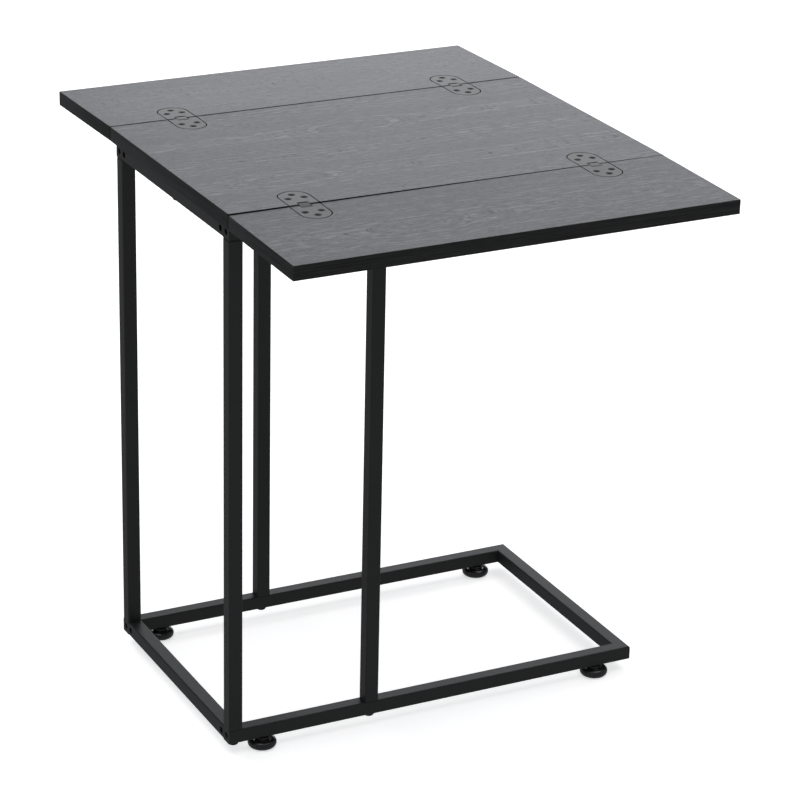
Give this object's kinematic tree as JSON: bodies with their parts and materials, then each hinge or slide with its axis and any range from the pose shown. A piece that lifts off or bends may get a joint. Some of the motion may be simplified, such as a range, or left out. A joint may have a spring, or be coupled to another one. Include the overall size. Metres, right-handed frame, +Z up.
{
  "type": "folding tray table",
  "caption": "C-shaped side table in black square tube with a charcoal woodgrain top whose outer boards fold in onto the fixed middle board on flush link hinges.",
  "frame": {"origin": "centre of the footprint of the open table, on the floor", "axes": "+X from the closed end with the two outer legs to the open end, +Y across the top towards the back leaf, +Z up"},
  "size_m": [0.48, 0.6, 0.586],
  "materials": {
    "frame_black": "satin black powder coat",
    "plug_black": "matt black",
    "zinc_plate": "zinc plated",
    "black_screws": "black oxide",
    "charcoal_woodgrain": "satin charcoal woodgrain melamine on particle board",
    "black_edging": "near-black edging with a faint lengthwise grain",
    "hinge_charcoal": "satin charcoal lacquer on cast zinc",
    "foot_black": "glossy black nylon"
  },
  "bodies": {
    "frame": {"base_front_rail": "frame_black", "base_back_rail": "frame_black", "base_left_rail": "frame_black", "base_right_rail": "frame_black", "top_front_rail": "frame_black", "top_back_rail": "frame_black", "top_left_rail": "frame_black", "top_right_rail": "frame_black", "front_outer_leg": "frame_black", "back_outer_leg": "frame_black", "front_inner_leg": "frame_black", "back_inner_leg": "frame_black", "rail_end_plugs": "plug_black", "leg_bottom_inserts": "plug_black", "leg_top_inserts": "plug_black", "base_leg_bolts": "black_screws", "top_leg_bolts": "black_screws", "board_screws": "black_screws", "foot_nuts": "frame_black", "middle_board": "charcoal_woodgrain", "middle_board_edging": "black_edging", "front_left_fixed_plate": "hinge_charcoal", "front_right_fixed_plate": "hinge_charcoal", "back_left_fixed_plate": "hinge_charcoal", "back_right_fixed_plate": "hinge_charcoal", "fixed_plate_screws": "black_screws"},
    "front_links": {"front_left_link": "hinge_charcoal", "front_right_link": "hinge_charcoal", "front_hinge_pins": "zinc_plate"},
    "back_links": {"back_left_link": "hinge_charcoal", "back_right_link": "hinge_charcoal", "back_hinge_pins": "zinc_plate"},
    "front_leaf": {"front_leaf_board": "charcoal_woodgrain", "front_leaf_edging": "black_edging", "front_left_leaf_plate": "hinge_charcoal", "front_right_leaf_plate": "hinge_charcoal", "front_leaf_screws": "black_screws"},
    "back_leaf": {"back_leaf_board": "charcoal_woodgrain", "back_leaf_edging": "black_edging", "back_left_leaf_plate": "hinge_charcoal", "back_right_leaf_plate": "hinge_charcoal", "back_leaf_screws": "black_screws"},
    "front_left_foot_body": {"front_left_foot": "foot_black", "front_left_stud": "zinc_plate"},
    "front_right_foot_body": {"front_right_foot": "foot_black", "front_right_stud": "zinc_plate"},
    "back_left_foot_body": {"back_left_foot": "foot_black", "back_left_stud": "zinc_plate"},
    "back_right_foot_body": {"back_right_foot": "foot_black", "back_right_stud": "zinc_plate"}
  },
  "joints": [
    {"name": "front_link_turn", "type": "hinge", "parent": "frame", "child": "front_links", "pos_m": [0, -0.1489, 0.584], "axis": [-1, 0, 0], "range_deg": [0, 90.5]},
    {"name": "front_leaf_turn", "type": "hinge", "parent": "front_links", "child": "front_leaf", "pos_m": [0, -0.1557, 0.584], "axis": [-1, 0, 0], "range_deg": [0, 90.5]},
    {"name": "back_link_turn", "type": "hinge", "parent": "frame", "child": "back_links", "pos_m": [0, 0.1489, 0.584], "axis": [1, 0, 0], "range_deg": [0, 90.5]},
    {"name": "back_leaf_turn", "type": "hinge", "parent": "back_links", "child": "back_leaf", "pos_m": [0, 0.1557, 0.584], "axis": [1, 0, 0], "range_deg": [0, 90.5]},
    {"name": "front_left_foot_screw", "type": "slide", "parent": "frame", "child": "front_left_foot_body", "axis": [0, 0, -1], "range_m": [0, 0.006]},
    {"name": "front_right_foot_screw", "type": "slide", "parent": "frame", "child": "front_right_foot_body", "axis": [0, 0, -1], "range_m": [0, 0.006]},
    {"name": "back_left_foot_screw", "type": "slide", "parent": "frame", "child": "back_left_foot_body", "axis": [0, 0, -1], "range_m": [0, 0.006]},
    {"name": "back_right_foot_screw", "type": "slide", "parent": "frame", "child": "back_right_foot_body", "axis": [0, 0, -1], "range_m": [0, 0.006]}
  ],
  "couplings": [
    {"joint": "front_link_turn", "follows": "front_leaf_turn", "ratio": 1},
    {"joint": "back_link_turn", "follows": "back_leaf_turn", "ratio": 1}
  ]
}
